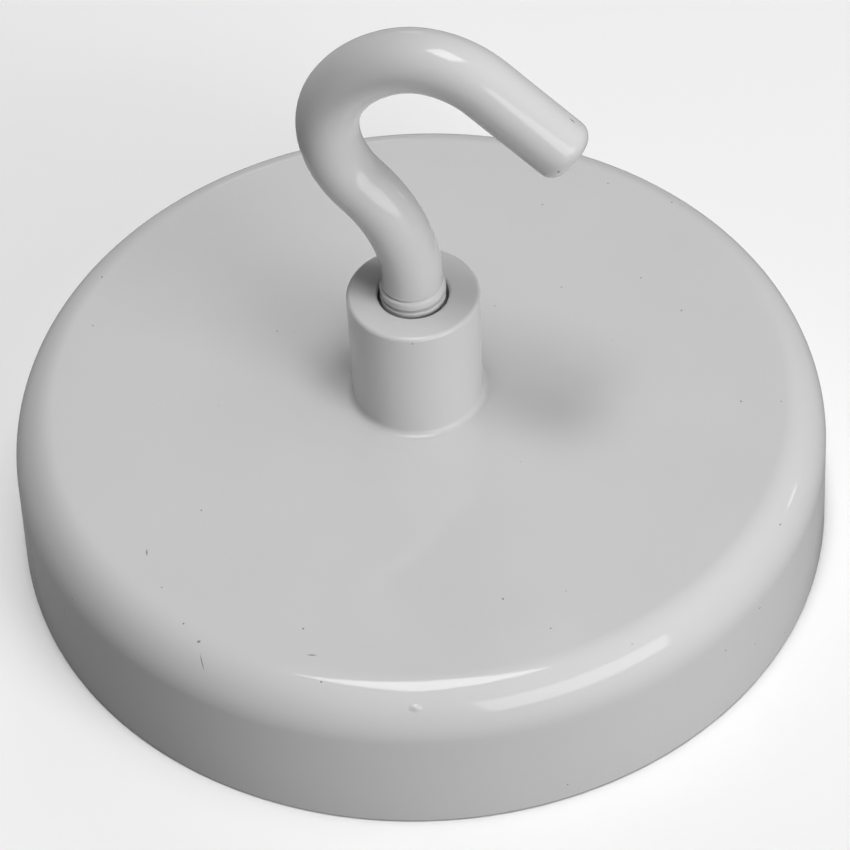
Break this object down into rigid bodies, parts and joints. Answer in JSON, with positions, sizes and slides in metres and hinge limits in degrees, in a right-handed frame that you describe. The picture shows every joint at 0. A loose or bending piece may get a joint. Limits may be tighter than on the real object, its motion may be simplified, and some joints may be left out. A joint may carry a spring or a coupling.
{
  "type": "hook pot magnet",
  "caption": "White coated round ferrite pot magnet with a central threaded socket and a screwed-in open wire hook.",
  "frame": {"origin": "middle of the magnetic holding face, the open side of the cup", "axes": "+Z out through the socket, along the hook's thread; +X towards the hook's open mouth"},
  "size_m": [0.05, 0.05, 0.0377],
  "materials": {
    "white_coat": "gloss",
    "ferrite": "matte",
    "bare_steel": "ground",
    "resin": "satin",
    "glue": "satin"
  },
  "bodies": {
    "magnet_body": {"pot_shell": "white_coat", "threaded_socket": "white_coat", "ferrite_ring": "ferrite", "centre_pole": "bare_steel", "outer_potting_ring": "resin", "inner_potting_ring": "resin", "magnet_glue_layer": "glue"},
    "hook": {"hook": "white_coat"}
  },
  "joints": [
    {"name": "hook_turn", "type": "hinge", "parent": "magnet_body", "child": "hook", "pos_m": [0, 0, 0.018], "axis": [0, 0, 1], "continuous": true}
  ]
}
